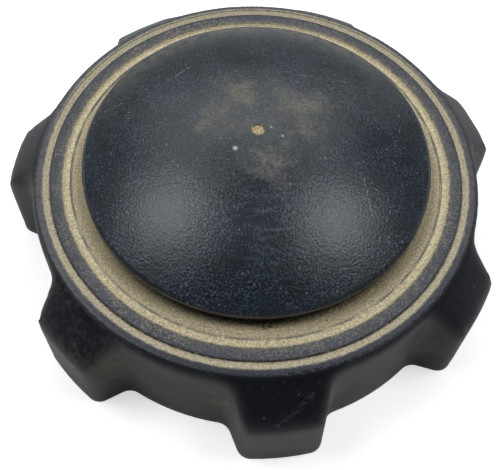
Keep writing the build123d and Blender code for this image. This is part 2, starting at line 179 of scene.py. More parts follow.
shader.inputs["Specular IOR Level"].default_value = 0.0
# The camera sees the table a little brighter, so it turns white while the cap
# still drops its soft shadow on it.  Far away, where no lamp reaches, it is
# wholly white.  Mirror rays get a share of that, which the satin sides show.
MIRROR_SHARE = 0.2
GLOW_FROM, GLOW_TO = (0.25, 0.9), (0.6, 1.0)  # metres from the cap, and strengths
light_path = add(tree, "ShaderNodeLightPath").node.outputs
mirror_ray = add(
    tree, "ShaderNodeMath",
    {0: light_path["Is Glossy Ray"], 1: light_path["Is Transmission Ray"]}, operation="MAXIMUM")
mirror_ray = add(tree, "ShaderNodeMath", {0: mirror_ray, 1: MIRROR_SHARE}, operation="MULTIPLY")
seen_ray = add(tree, "ShaderNodeMath", {0: light_path["Is Camera Ray"], 1: mirror_ray},
               operation="MAXIMUM")
from_cap = add(tree, "ShaderNodeVectorMath", {0: add(tree, "ShaderNodeTexCoord", output="Object")},
               output="Value", operation="LENGTH")
glow = add(tree, "ShaderNodeMapRange", {
    "Value": from_cap, "From Min": GLOW_FROM[0], "From Max": GLOW_FROM[1],
    "To Min": GLOW_TO[0], "To Max": GLOW_TO[1]})
glow = add(tree, "ShaderNodeEmission", {"Color": linear("#ffffff"), "Strength": glow})
both = add(tree, "ShaderNodeAddShader", {0: shader.outputs[0], 1: glow})
seen = add(tree, "ShaderNodeMixShader", {"Fac": seen_ray, 1: shader.outputs[0], 2: both})
tree.links.new(seen, tree.nodes["Material Output"].inputs["Surface"])
floor_mesh.materials.append(floor_paint)
print("floor reach m:", FLOOR_REACH)

# %% Lamps and world
LAMPS = [  # name, direction from the cap, distance m, width m, height m, watts
    ("left_softbox", (-0.46, 0.14, 0.87), 0.75, 0.30, 0.30, 1.9),
    ("right_softbox", (0.47, 0.01, 0.88), 0.75, 0.28, 0.28, 1.75),
    ("back_panel", (0.03, 0.68, 0.73), 0.85, 1.00, 0.50, 3.0),
]
for name, direction, distance, width, height_m, power in LAMPS:
    data = bpy.data.lights.new(name, "AREA")
    data.shape = "RECTANGLE"
    data.size, data.size_y = width, height_m
    data.energy = power
    data.color = linear("#f3f6fc")[:3]
    lamp = bpy.data.objects.new(name, data)
    lamp.location = Vector(direction).normalized() * distance
    lamp.rotation_euler = (-lamp.location).to_track_quat("-Z", "Y").to_euler()
    bpy.context.collection.objects.link(lamp)

WORLD_STRENGTH = 0.08
world = bpy.data.worlds.new("studio")
bpy.context.scene.world = world
world.use_nodes = True
world.node_tree.nodes["Background"].inputs["Color"].default_value = linear("#dfe7f4")
world.node_tree.nodes["Background"].inputs["Strength"].default_value = WORLD_STRENGTH
print("lamps:", [row[0] for row in LAMPS])

# %% [markdown]
# ## Masks
# A mask is a grey value from 0 to 1 that says where a coat of colour lies.
# Painted images could do this, but they need an unwrapped part and turn soft
# close by.  These recipes are made of radius, height and noise instead.  They
# work on object coordinates in millimetres, so a mark keeps its place on the
# part when a body turns, and a size in them is a size on the part.

# %% Mask recipes: places and limits
def places(tree):
    """Object place in millimetres, its radius and its height."""
    place = add(tree, "ShaderNodeTexCoord", output="Object")
    place = add(tree, "ShaderNodeVectorMath", {0: place, "Scale": 1 / MM}, operation="SCALE")
    flat = add(tree, "ShaderNodeVectorMath", {0: place, 1: (1, 1, 0)}, operation="MULTIPLY")
    radius = add(tree, "ShaderNodeVectorMath", {0: flat}, output="Value", operation="LENGTH")
    height = add(tree, "ShaderNodeSeparateXYZ", {0: place}, output="Z")
    return place, radius, height


def within(tree, value, low, high, soft):
    """1 where a value lies between two limits, with soft ends."""
    over = add(tree, "ShaderNodeMapRange",
               {"Value": value, "From Min": low - soft, "From Max": low + soft})
    under = add(tree, "ShaderNodeMapRange",
                {"Value": value, "From Min": high + soft, "From Max": high - soft})
    return add(tree, "ShaderNodeMath", {0: over, 1: under}, operation="MULTIPLY")


def rising(tree, place, axis, start_mm, end_mm, least=0.0):
    """From least at one value on an axis to 1 at another."""
    reach = add(tree, "ShaderNodeSeparateXYZ", {0: place}, output=axis)
    return add(tree, "ShaderNodeMapRange",
               {"Value": reach, "From Min": start_mm, "From Max": end_mm, "To Min": least})


# %% Mask recipes: noise
def cloudy(tree, place, size_mm, low, high, detail=4.0):
    """Cloud-like mask: 0 where the noise is below low, 1 above high."""
    noise = add(tree, "ShaderNodeTexNoise",
                {"Vector": place, "Scale": 1 / size_mm, "Detail": detail})
    return add(tree, "ShaderNodeMapRange", {"Value": noise, "From Min": low, "From Max": high})


def warped(tree, place, size_mm, push_mm, detail):
    """The place pushed about by noise, so that a round patch gets a ragged outline."""
    push = add(tree, "ShaderNodeTexNoise",
               {"Vector": place, "Scale": 1 / size_mm, "Detail": detail}, output="Color")
    push = add(tree, "ShaderNodeVectorMath", {0: push, 1: (0.5, 0.5, 0.5)}, operation="SUBTRACT")
    push = add(tree, "ShaderNodeVectorMath", {0: push, "Scale": push_mm}, operation="SCALE")
    return add(tree, "ShaderNodeVectorMath", {0: place, 1: push}, operation="ADD")


def dots(tree, place, spacing_mm, reach, share):
    """Small round dots on a share of the cells, each of its own size."""
    cells = add(tree, "ShaderNodeTexVoronoi", {"Vector": place, "Scale": 1 / spacing_mm})
    chance = add(tree, "ShaderNodeSeparateColor", {0: cells.node.outputs["Color"]})
    size = add(tree, "ShaderNodeMapRange", {"Value": chance, "From Min": 0, "From Max": share,
                                            "To Min": reach, "To Max": 0})
    return add(tree, "ShaderNodeMapRange", {"Value": cells, "From Min": size, "From Max": 0})


# %% Mask recipes: marks at a place
def around_point(tree, place, centre, reach_mm, soft_mm):
    """1 near a point, fading out at a distance from it."""
    away = add(tree, "ShaderNodeVectorMath", {0: place, 1: centre},
               output="Value", operation="DISTANCE")
    return add(tree, "ShaderNodeMapRange", {"Value": away, "From Min": reach_mm + soft_mm,
                                            "From Max": reach_mm - soft_mm})


def along_line(tree, place, start, end, width_mm):
    """1 on the line between two points, fading out at the width from it."""
    run = Vector(end) - Vector(start)
    offset = add(tree, "ShaderNodeVectorMath", {0: place, 1: start}, operation="SUBTRACT")
    share = add(tree, "ShaderNodeVectorMath", {0: offset, 1: run / run.length_squared},
                output="Value", operation="DOT_PRODUCT")
    share = add(tree, "ShaderNodeClamp", {0: share})
    foot = add(tree, "ShaderNodeVectorMath", {0: run, "Scale": share}, operation="SCALE")
    away = add(tree, "ShaderNodeVectorMath", {0: offset, 1: foot},
               output="Value", operation="DISTANCE")
    return add(tree, "ShaderNodeMapRange", {"Value": away, "From Min": width_mm, "From Max": 0})


# %% Mask recipes: masks and coats put together
def product(tree, *factors):
    """Masks and shares multiplied: the mark lies only where all of them are high."""
    result = factors[0]
    for factor in factors[1:]:
        result = add(tree, "ShaderNodeMath", {0: result, 1: factor}, operation="MULTIPLY")
    return result


def union(tree, masks):
    """The strongest of several masks."""
    result = masks[0]
    for mask in masks[1:]:
        result = add(tree, "ShaderNodeMath", {0: result, 1: mask}, operation="MAXIMUM")
    return result


def coat(tree, base, layers):
    """Colours laid over a base one after another, each through its mask."""
    for mask, colour in layers:
        base = add(tree, "ShaderNodeMix", {0: mask, 6: base, 7: linear(colour)},
                   output=2, data_type="RGBA")
    return base


print("mask recipes:", [recipe.__name__ for recipe in (within, rising, cloudy, dots, around_point)])

# %% [markdown]
# ## Grip: sparked plastic under road dust
# Black-blue polypropylene from a spark-eroded mould: satin, with fine pebbles.
# Tan dust lies in the ledge and the groove and is rubbed off the raised band and
# the rim, so its colour is a function of the radius; the ramp also holds painted
# shade under the dome's lip and at the band's outer edge.  One colour ramp holds all
# the rings, and a little noise on the radius keeps them from looking ruled.

# %% Grip colour on the rings
DUST_RAMP_MM = 50.0  # the ramp's right end, outside the rim
EDGE_WOBBLE_MM = 0.22
# Painted shade in the ramp: the ledge darkens under the dome's lip, and the dark line at the band's
# outer edge is bare plastic with a painted shadow of its wall.
dust_and_shade_rings = [  # radius mm and the colour there
    (0.0, "#191c22"), (RINGS_MM["dome"] - 0.6, "#837659"), (RINGS_MM["dome"] + 0.4, "#c0b08c"),
    (RINGS_MM["ledge"] - 0.3, "#c7b894"), (RINGS_MM["line"] + 0.1, "#d6c7a1"),
    (RINGS_MM["step"] - 0.1, "#d3c49e"), (RINGS_MM["step"] + 0.15, "#69675f"),
    (35.0, "#54555a"), (RINGS_MM["band"] - 0.2, "#4d4f54"), (RINGS_MM["band"] - 0.04, "#24262b"),
    (RINGS_MM["band"] + 0.1, "#b9ad90"), (RINGS_MM["groove"] - 0.12, "#beb295"),
    (RINGS_MM["groove"] + 0.12, "#2a2e38"), (RINGS_MM["rim"] - 0.4, "#1a1f29"),
    (RINGS_MM["rim"] + 0.5, "#0d1119"),
]
grip_finish, tree, shader = new_material("sparked_polypropylene_dusty")
place, radius, height = places(tree)
wobble = add(tree, "ShaderNodeTexNoise", {"Vector": place, "Scale": 1 / 0.9, "Detail": 4.0})
wobble = add(tree, "ShaderNodeMapRange",
             {"Value": wobble, "To Min": -EDGE_WOBBLE_MM, "To Max": EDGE_WOBBLE_MM})
shifted = add(tree, "ShaderNodeMath", {0: radius, 1: wobble}, operation="ADD")
shifted = product(tree, shifted, 1 / DUST_RAMP_MM)
rings = add(tree, "ShaderNodeValToRGB", {"Fac": shifted},
            stops=[(reach / DUST_RAMP_MM, colour) for reach, colour in dust_and_shade_rings])
grain = add(tree, "ShaderNodeTexNoise", {"Vector": place, "Scale": 1 / 0.33, "Detail": 3.0})
grain = add(tree, "ShaderNodeMapRange",
            {"Value": grain, "From Min": 0.33, "From Max": 0.67, "To Min": 0.66, "To Max": 1.32})
rings = add(tree, "ShaderNodeVectorMath", {0: rings, "Scale": grain}, operation="SCALE")
print("ring colours:", len(dust_and_shade_rings))

# %% Grip dust: damp stains with painted lip shade, the fine line and grit on the ledge
BLACK_SPECKS_MM = ((-14.0, -34.1, 21.3), (10.0, -35.4, 21.3), (19.0, 31.6, 21.3))
front = rising(tree, place, "Y", -14.0, -27.0)
# Dark olive patches along the dome's edge at the front: damp dirt, and painted shade under the
# dome's lip.
damp_edge_and_lip_shade = product(tree, within(tree, radius, 27.0, 30.5, 0.5), front,
                    cloudy(tree, place, 0.35, 0.3, 0.62), 0.8)
drawn_round = add(tree, "ShaderNodeVectorMath", {0: place, 1: (0.4, 1.3, 1.0)},
                  operation="MULTIPLY")
damp_streak = product(tree, around_point(tree, place, (-1.5, -30.4, 21.5), 1.8, 1.6),
                      within(tree, radius, 29.0, 30.9, 0.3),
                      cloudy(tree, drawn_round, 0.3, 0.46, 0.6, 4.0), 0.9)
fine_line = product(tree, within(tree, radius, RINGS_MM["ledge"], RINGS_MM["line"], 0.1),
                    cloudy(tree, place, 3.5, 0.30, 0.55, 3.0), 0.85)
grit = product(tree, within(tree, radius, 30.5, RINGS_MM["groove"], 0.2),
               dots(tree, place, 0.9, 0.26, 0.3))
pale_grit = product(tree, within(tree, radius, RINGS_MM["step"], RINGS_MM["band"] - 0.3, 0.2),
                    cloudy(tree, place, 0.30, 0.52, 0.64, 1.0),
                    cloudy(tree, place, 5.0, 0.3, 0.7), 0.75)
black_specks = union(tree, [around_point(tree, place, centre, 0.22, 0.1)
                            for centre in BLACK_SPECKS_MM])
print("black specks:", len(BLACK_SPECKS_MM))

# %% Grip dust: the groove's wall and the rim
GROOVE_MM, RIM_MM = RINGS_MM["groove"], RINGS_MM["rim"]
# Grey dust on the rim, left off at the front: the darker front of the rim is painted shade.
rest_of_rim = add(tree, "ShaderNodeMapRange", {"Value": front, "To Min": 0.55, "To Max": 0.0})
rim_dust_front_shaded = product(tree, within(tree, radius, GROOVE_MM + 0.1, RIM_MM + 0.1, 0.25), rest_of_rim,
                   cloudy(tree, place, 0.8, 0.2, 0.7, 3.0))
climbing_dust = product(tree, within(tree, radius, GROOVE_MM - 0.2, GROOVE_MM + 0.4, 0.12),
                        rising(tree, place, "Y", 8.0, 26.0),
                        cloudy(tree, place, 0.33, 0.25, 0.6, 3.0))
rim_grit = product(tree, within(tree, radius, GROOVE_MM, RIM_MM, 0.2),
                   cloudy(tree, place, 0.30, 0.58, 0.68, 1.0), 0.4)
ring_coats = [
    (damp_edge_and_lip_shade, "#4a4231"), (fine_line, "#6f7071"), (damp_streak, "#1d1b17"),
    (grit, "#57503f"), (rim_dust_front_shaded, "#6d6c69"), (climbing_dust, "#b8ac8d"),
    (rim_grit, "#68696a"), (pale_grit, "#a39b86"), (black_specks, "#17181b"),
]
rings = coat(tree, rings, ring_coats)
print("coats on the rings:", len(ring_coats))

# %% [markdown]
# ### Sides of the grip
# The upright sides get a grey coat, partly a thin dust film and partly a painted
# reflection of the pale floor, and the shoulders keep the near-black plastic.
# Hands rub the edges pale, and that pale coat also stands as a painted highlight
# on the rounded edges; they leave smudges in the pockets.  A Bevel node gives a
# normal that turns softly over an edge, and where it parts from the true normal
# there is an edge to rub.  Painting each edge would be lost when the CAD changes.

# %% Grip sides: film and rubbed edges
SOFT_EDGE_MM, CRISP_EDGE_MM = 2.6, 0.25
soft_normal = add(tree, "ShaderNodeBevel", {"Radius": SOFT_EDGE_MM * MM}, samples=10)
true_normal = add(tree, "ShaderNodeNewGeometry", output="Normal")
bend = add(tree, "ShaderNodeVectorMath", {0: soft_normal, 1: true_normal},
           output="Value", operation="DOT_PRODUCT")
edge = add(tree, "ShaderNodeMapRange", {"Value": bend, "From Min": 0.99, "From Max": 0.88})
upright = rising(tree, soft_normal, "Z", 0.6, 0.1)
# Upright faces turn grey: partly a thin dust film, partly a painted reflection of the pale floor.
# The up-facing shoulders keep the near-black base.
dust_film_and_floor_reflection = product(tree, upright, cloudy(tree, place, 9.0, 0.25, 0.75))
# Pale edges: rubbed plastic, and a painted highlight where a rounded edge catches the light.
rubbed_edge_and_highlight = product(tree, edge, upright, cloudy(tree, place, 1.6, 0.42, 0.62))
handled = rising(tree, place, "X", -8.0, -22.0, least=0.12)
mottle = product(tree, cloudy(tree, place, 0.9, 0.42, 0.70),
                 cloudy(tree, place, 10.0, 0.40, 0.56), handled)
spark = cloudy(tree, place, 0.3, 0.4, 0.7, 1.0)
print("edges softened by mm:", SOFT_EDGE_MM)

# %% Grip sides: smudges, and rim wear with a painted highlight
SMUDGES_MM = (
    (-8.6, -40.0, 11.5), (-26.0, -30.8, 12.0), (25.5, -32.3, 9.0), (8.6, -40.0, 11.5),
    (38.5, -9.0, 9.0), (-39.0, -6.0, 12.0), (9.0, 39.6, 9.0),
)
wander = warped(tree, place, 4.0, 12.0, 4.0)
smudge = union(tree, [around_point(tree, wander, centre, 1.6, 3.6) for centre in SMUDGES_MM])
drawn_down = add(tree, "ShaderNodeVectorMath", {0: place, 1: (1.0, 1.0, 0.3)}, operation="MULTIPLY")
smudge = product(tree, smudge, cloudy(tree, drawn_down, 2.0, 0.25, 0.62, 5.0), 0.85)
# The pale line on the rim's outer edge at the front left is wear and a painted highlight on the
# rounded edge.
worn_rim_and_highlight = product(tree, within(tree, radius, RIM_MM - 0.3, RIM_MM + 0.3, 0.3),
                   around_point(tree, place, (-28.9, -25.7, 22.0), 5.0, 5.0),
                   cloudy(tree, place, 1.6, 0.3, 0.7), 0.5)
print("smudges:", len(SMUDGES_MM))

# %% Grip sides: specks, hairlines, scuffs and chips
SCUFFS_MM = (  # start, end, width
    ((-1.6, -44.9, 16.3), (2.0, -43.2, 17.7), 0.5),
    ((1.0, -43.6, 17.4), (4.6, -41.2, 19.3), 0.7),
    ((-38.5, -24.0, 16.0), (-34.5, -22.5, 17.5), 0.4),
    ((36.0, -24.5, 15.5), (39.5, -20.0, 16.0), 0.5),
)
side_specks = product(tree, dots(tree, place, 1.1, 0.22, 0.35),
                      cloudy(tree, place, 6.0, 0.45, 0.6), 0.8)
leaning = add(tree, "ShaderNodeVectorRotate", {"Vector": place, "Angle": math.radians(38)},
              rotation_type="Z_AXIS")
leaning = add(tree, "ShaderNodeVectorMath", {0: leaning, 1: (0.09, 2.2, 0.6)}, operation="MULTIPLY")
hairlines = product(tree, cloudy(tree, leaning, 1.0, 0.66, 0.74, 1.0),
                    cloudy(tree, place, 7.0, 0.5, 0.62), 0.5)
scuffs = union(tree, [along_line(tree, place, start, end, width)
                      for start, end, width in SCUFFS_MM])
scuffs = product(tree, scuffs, cloudy(tree, place, 0.5, 0.40, 0.66, 3.0), 0.5)
chips = product(tree, within(tree, radius, 39.0, 40.2, 0.3), dots(tree, place, 0.8, 0.35, 0.6),
                around_point(tree, place, (0.5, -39.6, 21.2), 4.5, 2.5), 0.9)
print("scuffs:", len(SCUFFS_MM))

# %% Grip: rings and sides in one colour
side_coats = [
    (spark, "#12171f"), (mottle, "#393a37"), (dust_film_and_floor_reflection, "#33322c"), (smudge, "#756a4e"),
    (rubbed_edge_and_highlight, "#4a4840"), (side_specks, "#85888b"), (hairlines, "#43474c"),
    (scuffs, "#5a5f67"), (chips, "#7d8289"), (worn_rim_and_highlight, "#6f6f6d"),
]
sides = coat(tree, linear("#090d15"), side_coats)
rings = coat(tree, rings, [(worn_rim_and_highlight, "#6f6f6d")])
on_top = add(tree, "ShaderNodeMapRange", {
    "Value": height, "From Min": RIM_HEIGHT_MM - 1.1, "From Max": RIM_HEIGHT_MM - 0.6})
on_top = product(tree, on_top, within(tree, radius, 0.0, RIM_MM + 0.3, 0.3))
base = add(tree, "ShaderNodeMix", {0: on_top, 6: sides, 7: rings}, output=2, data_type="RGBA")
tree.links.new(base, shader.inputs["Base Color"])
print("coats on the sides:", len(side_coats))

# %% Grip roughness and spark texture
# Dust is dead matt.  Bare plastic keeps a satin sheen, and the pebbles of the
# sparked mould break it up.
PEBBLE_MM, PEBBLE_DEPTH_MM = 0.38, 0.08
dusty = product(tree, on_top, within(tree, radius, 20.0, GROOVE_MM, 0.15))
dull = add(tree, "ShaderNodeMapRange", {"Value": dusty, "To Min": 0.42, "To Max": 0.85})
tree.links.new(dull, shader.inputs["Roughness"])
gloss = add(tree, "ShaderNodeMapRange", {"Value": on_top, "To Min": 0.2, "To Max": 0.5})
tree.links.new(gloss, shader.inputs["Specular IOR Level"])
crisp_normal = add(tree, "ShaderNodeBevel", {"Radius": CRISP_EDGE_MM * MM}, samples=6)
blended = add(tree, "ShaderNodeMix", {0: on_top, 4: soft_normal, 5: crisp_normal},
              output=1, data_type="VECTOR")
pebble = add(tree, "ShaderNodeTexNoise",
             {"Vector": place, "Scale": 1 / PEBBLE_MM, "Detail": 2.0})
bump = add(tree, "ShaderNodeBump", {
    "Height": pebble, "Strength": 0.45, "Distance": PEBBLE_DEPTH_MM * MM, "Normal": blended})
tree.links.new(bump, shader.inputs["Normal"])
finish_nodes(["grip_shell"], grip_finish)

# %% [markdown]
# ## Dome: the same plastic, hazed and scratched
# Tan haze clings round the moulding gate at the centre, fine pale pits lie all
# over, and a few scratches cross the top.  Round patches alone would look
# stamped, so the haze is made in a place that noise has pushed about.

# %% Dome colour: pits, flecks and wipes
dome_finish, tree, shader = new_material("sparked_polypropylene_hazed")
place, radius, height = places(tree)
tone = add(tree, "ShaderNodeTexNoise", {"Vector": place, "Scale": 1 / 7.0, "Detail": 5.0})
base = add(tree, "ShaderNodeValToRGB", {"Fac": tone}, stops=[(0.35, "#0b121a"), (0.7, "#141d27")])
pits = product(tree, cloudy(tree, place, 0.30, 0.50, 0.62, 1.0),
               cloudy(tree, place, 4.0, 0.25, 0.6), 0.75)
# Pale flecks on the far half only: the plastic's speckle, and painted light where the dome's far
# side faces the bright back.
flecks_and_back_light = product(tree, cloudy(tree, place, 0.33, 0.54, 0.61, 1.0),
                 cloudy(tree, place, 7.0, 0.1, 0.5), rising(tree, place, "Y", -10.0, 8.0), 0.3)
swept = add(tree, "ShaderNodeVectorMath", {0: place, 1: (0.35, 1.5, 1.0)}, operation="MULTIPLY")
wipes = product(tree, cloudy(tree, swept, 0.9, 0.5, 0.66, 3.0),
                cloudy(tree, place, 0.4, 0.35, 0.6),
                around_point(tree, place, (-1.0, -15.0, 30.5), 7.0, 4.0), 0.6)
pale_dots = product(tree, dots(tree, place, 0.8, 0.34, 0.55),
                    cloudy(tree, place, 5.0, 0.35, 0.6), 0.8)
print("dome top mm:", round(DOME_TOP_MM, 2))

# %% Dome haze and dust
HAZE_MM = (  # centre and reach
    ((-2.5, 8.6, 31.6), 2.6), ((7.2, 4.6, 31.7), 3.4), ((1.2, -6.6, 31.9), 2.0),
    ((-6.6, 3.0, 31.9), 1.4), ((8.0, -1.0, 31.8), 1.4), ((2.5, -3.5, 32.0), 0.8),
    ((-1.0, 1.5, 32.3), 0.6),
)
drift = warped(tree, place, 3.5, 12.0, 6.0)
haze = union(tree, [around_point(tree, drift, centre, reach, 2.6) for centre, reach in HAZE_MM])
haze = product(tree, haze, cloudy(tree, place, 0.6, 0.25, 0.6, 3.0), 0.8)
# A faint pale veil round the middle: thin haze, and a painted sheen there.
haze_and_sheen_veil = product(tree, around_point(tree, place, (1.0, 1.5, 32.0), 8.5, 6.0),
               cloudy(tree, place, 3.0, 0.3, 0.7), 0.3)
far_dust = product(tree, within(tree, radius, 26.5, 31.0, 2.2),
                   rising(tree, place, "Y", 6.0, 20.0), cloudy(tree, place, 1.6, 0.32, 0.6), 0.6)
smear = product(tree, around_point(tree, drift, (21.0, 6.5, 28.5), 3.5, 4.0),
                cloudy(tree, place, 0.5, 0.3, 0.65), 0.4)
base = coat(tree, base, [
    (pits, "#4a555f"), (flecks_and_back_light, "#5b686c"), (wipes, "#5f6670"), (haze_and_sheen_veil, "#66665f"),
    (haze, "#837c69"), (far_dust, "#6b6759"), (smear, "#5f6063"), (pale_dots, "#8f979c"),
])
print("haze patches:", len(HAZE_MM))

# %% Dome marks: scratches, bright nicks and the gate
SCRATCHES_MM = (  # start, end, width
    ((-14.1, 14.3, 29.3), (-9.8, 17.4, 29.3), 0.16), ((8.7, 12.4, 30.6), (16.7, 11.3, 29.2), 0.13),
    ((16.7, 11.3, 29.2), (25.7, 4.4, 27.0), 0.17), ((16.4, -8.7, 29.7), (16.8, -14.7, 28.5), 0.14),
    ((-26.1, 10.7, 26.1), (-22.8, 11.4, 27.3), 0.15),
)
NICKS_MM = (  # centre and reach
    ((-4.1, -3.3, 32.1), 0.30), ((3.9, -1.6, 32.2), 0.12), ((2.2, 0.3, 32.3), 0.10),
)
GATE_MM, GATE_RADIUS_MM = (0.0, 0.0, DOME_TOP_MM - 0.12), 1.05
scratches = union(tree, [along_line(tree, place, start, end, width)
                         for start, end, width in SCRATCHES_MM])
scratches = product(tree, scratches, cloudy(tree, place, 0.8, 0.35, 0.6), 0.75)
nicks = union(tree, [around_point(tree, place, centre, reach, 0.22)
                     for centre, reach in NICKS_MM])
ragged = warped(tree, place, 0.7, 0.7, 2.0)
gate = around_point(tree, ragged, GATE_MM, GATE_RADIUS_MM, 0.12)
gate_ring = product(tree, around_point(tree, ragged, GATE_MM, GATE_RADIUS_MM + 0.25, 0.1), 0.55)
gate_face = product(tree, gate, cloudy(tree, place, 0.5, 0.42, 0.6))
base = coat(tree, base, [(scratches, "#a3a7ab"), (nicks, "#d8d2c0"), (gate_ring, "#3a352b"),
                         (gate, "#a8936a"), (gate_face, "#cbbd97")])
tree.links.new(base, shader.inputs["Base Color"])
print("scratches:", len(SCRATCHES_MM), "nicks:", len(NICKS_MM))

# %% Dome roughness and spark texture
# Haze and the torn gate are dull, and the rest has a soft sheen.  The pebbles
# are a little coarser than on the grip.
DOME_PEBBLE_MM, DOME_PEBBLE_DEPTH_MM = 0.42, 0.09
worn = union(tree, [haze, gate])
tree.links.new(add(tree, "ShaderNodeMapRange", {"Value": worn, "To Min": 0.32, "To Max": 0.7}),
               shader.inputs["Roughness"])
pebble = add(tree, "ShaderNodeTexNoise",
             {"Vector": place, "Scale": 1 / DOME_PEBBLE_MM, "Detail": 2.0})
bump = add(tree, "ShaderNodeBump",
           {"Height": pebble, "Strength": 0.55, "Distance": DOME_PEBBLE_DEPTH_MM * MM})
tree.links.new(bump, shader.inputs["Normal"])
finish_nodes(["dome_cover"], dome_finish)

# %% [markdown]
# ## Inner mouldings
# The closure, the valve pieces and the ratchet are clean satin plastics.  Four
# separate materials would say the same thing four times, so one loop makes them
# from a table: a base colour, a slightly paler flow pattern from the melt, and a
# very fine bump.

# %% Inner mouldings
FINE_GRAIN_MM = 0.05  # depth of the finest bumps
INNER = [  # name, base, flow colour, roughness, flow size mm, bump, nodes
    # Moulded polypropylene: an even, slightly oily sheen.
    ("satin_black_polypropylene", "#17181b", "#222428", 0.38, 9.0, 0.25, ["threaded_closure"]),
    # Glass-filled nylon: drier and greyer, mottled by the fibres.
    ("grey_filled_nylon", "#2b2d31", "#3a3c40", 0.45, 5.0, 0.35,
     ["valve_housing", "spring_cap", "splash_baffle"]),
    # Moulded acetal: smooth and waxy, black or in its own milky white.
    ("dark_acetal", "#1d1e20", "#26272a", 0.30, 4.0, 0.15, ["pressure_plate", "vacuum_poppet"]),
    ("natural_acetal", "#c9c3b1", "#d8d3c4", 0.35, 8.0, 0.15, ["ratchet_ring", "retaining_ring"]),
]
for name, dark, pale, roughness, flow_mm, strength, targets in INNER:
    finish, tree, shader = new_material(name)
    place, radius, height = places(tree)
    flow = cloudy(tree, place, flow_mm, 0.35, 0.65, 5.0)
    dust = product(tree, cloudy(tree, place, 2.2, 0.58, 0.75), 0.25)
    base = coat(tree, linear(dark), [(flow, pale), (dust, "#7a7364")])
    tree.links.new(base, shader.inputs["Base Color"])
    shader.inputs["Roughness"].default_value = roughness
    pebble = add(tree, "ShaderNodeTexNoise", {"Vector": place, "Scale": 1 / 0.3, "Detail": 2.0})
    bump = add(tree, "ShaderNodeBump",
               {"Height": pebble, "Strength": strength, "Distance": FINE_GRAIN_MM * MM})
    tree.links.new(bump, shader.inputs["Normal"])
    finish_nodes(targets, finish)

# %% [markdown]
# ## Rubber, wire and foam
# The gasket is matt nitrile with the print of the neck's lip in it.  The springs
# are drawn wire: bare metal with fine streaks from the die.  The filter is
# open-cell foam.  Its cells could be modelled, at millions of faces, but they
# lie in the dark under the dome, so a cell pattern and a bump stand for them.

# %% Nitrile rubber
nitrile, tree, shader = new_material("matt_nitrile_rubber")
place, radius, height = places(tree)
LIP_PRINT_MM = (26.6, 28.8)  # radii of the band that the neck's lip presses
pressed = within(tree, radius, LIP_PRINT_MM[0], LIP_PRINT_MM[1], 0.15)
bloom = product(tree, cloudy(tree, place, 3.0, 0.45, 0.7), 0.35)
base = coat(tree, linear("#121212"), [(product(tree, pressed, 0.6), "#232321"), (bloom, "#3a3935")])
tree.links.new(base, shader.inputs["Base Color"])
shine = add(tree, "ShaderNodeMapRange", {"Value": pressed, "To Min": 0.7, "To Max": 0.45})
tree.links.new(shine, shader.inputs["Roughness"])
skin = add(tree, "ShaderNodeTexNoise", {"Vector": place, "Scale": 1 / 0.25, "Detail": 3.0})
bump = add(tree, "ShaderNodeBump",
           {"Height": skin, "Strength": 0.3, "Distance": FINE_GRAIN_MM * MM})
tree.links.new(bump, shader.inputs["Normal"])
finish_nodes(["neck_gasket", "pressure_seal"], nitrile)

# %% Spring steel
wire, tree, shader = new_material("drawn_spring_steel")
place, radius, height = places(tree)
streaks = add(tree, "ShaderNodeVectorMath", {0: place, 1: (0.6, 0.6, 9.0)}, operation="MULTIPLY")
streaks = cloudy(tree, streaks, 1.0, 0.3, 0.7, 3.0)
stains = product(tree, cloudy(tree, place, 2.0, 0.6, 0.75), 0.4)
base = coat(tree, linear("#9b9da0"), [(streaks, "#c3c5c7"), (stains, "#7b6a55")])
tree.links.new(base, shader.inputs["Base Color"])
shader.inputs["Metallic"].default_value = 1.0
tree.links.new(add(tree, "ShaderNodeMapRange", {"Value": streaks, "To Min": 0.22, "To Max": 0.4}),
               shader.inputs["Roughness"])
finish_nodes(["wave_spring", "pressure_spring", "vacuum_spring", "vacuum_spring_clip"], wire)

# %% Filter foam
FOAM_CELL_MM, FOAM_DEPTH_MM = 0.8, 0.3
foam, tree, shader = new_material("open_cell_foam")
place, radius, height = places(tree)
cells = add(tree, "ShaderNodeTexVoronoi", {"Vector": place, "Scale": 1 / FOAM_CELL_MM},
            feature="DISTANCE_TO_EDGE")
# The dark cell middles are painted shade in the open pores, and the walls between them are paler.
walls = add(tree, "ShaderNodeMapRange", {"Value": cells, "From Min": 0.12, "From Max": 0.02})
tree.links.new(coat(tree, linear("#08080a"), [(walls, "#2c2c2c")]), shader.inputs["Base Color"])
shader.inputs["Roughness"].default_value = 0.95
bump = add(tree, "ShaderNodeBump",
           {"Height": walls, "Strength": 1.0, "Distance": FOAM_DEPTH_MM * MM})
tree.links.new(bump, shader.inputs["Normal"])
finish_nodes(["filter_ring"], foam)

# %% [markdown]
# ## Thread ridge
# The ridge inside the closure follows a helix, so Geometry Nodes sweeps its
# section along a spiral.  A Screw modifier could do it too, but here each size
# is a named input: the wall's radius, the pitch, the number of turns, and the
# ridge's height along the axis and width across the wall.  The ridge is wide at
# its flat upper flank, which takes the pull of the cap, and narrow below.

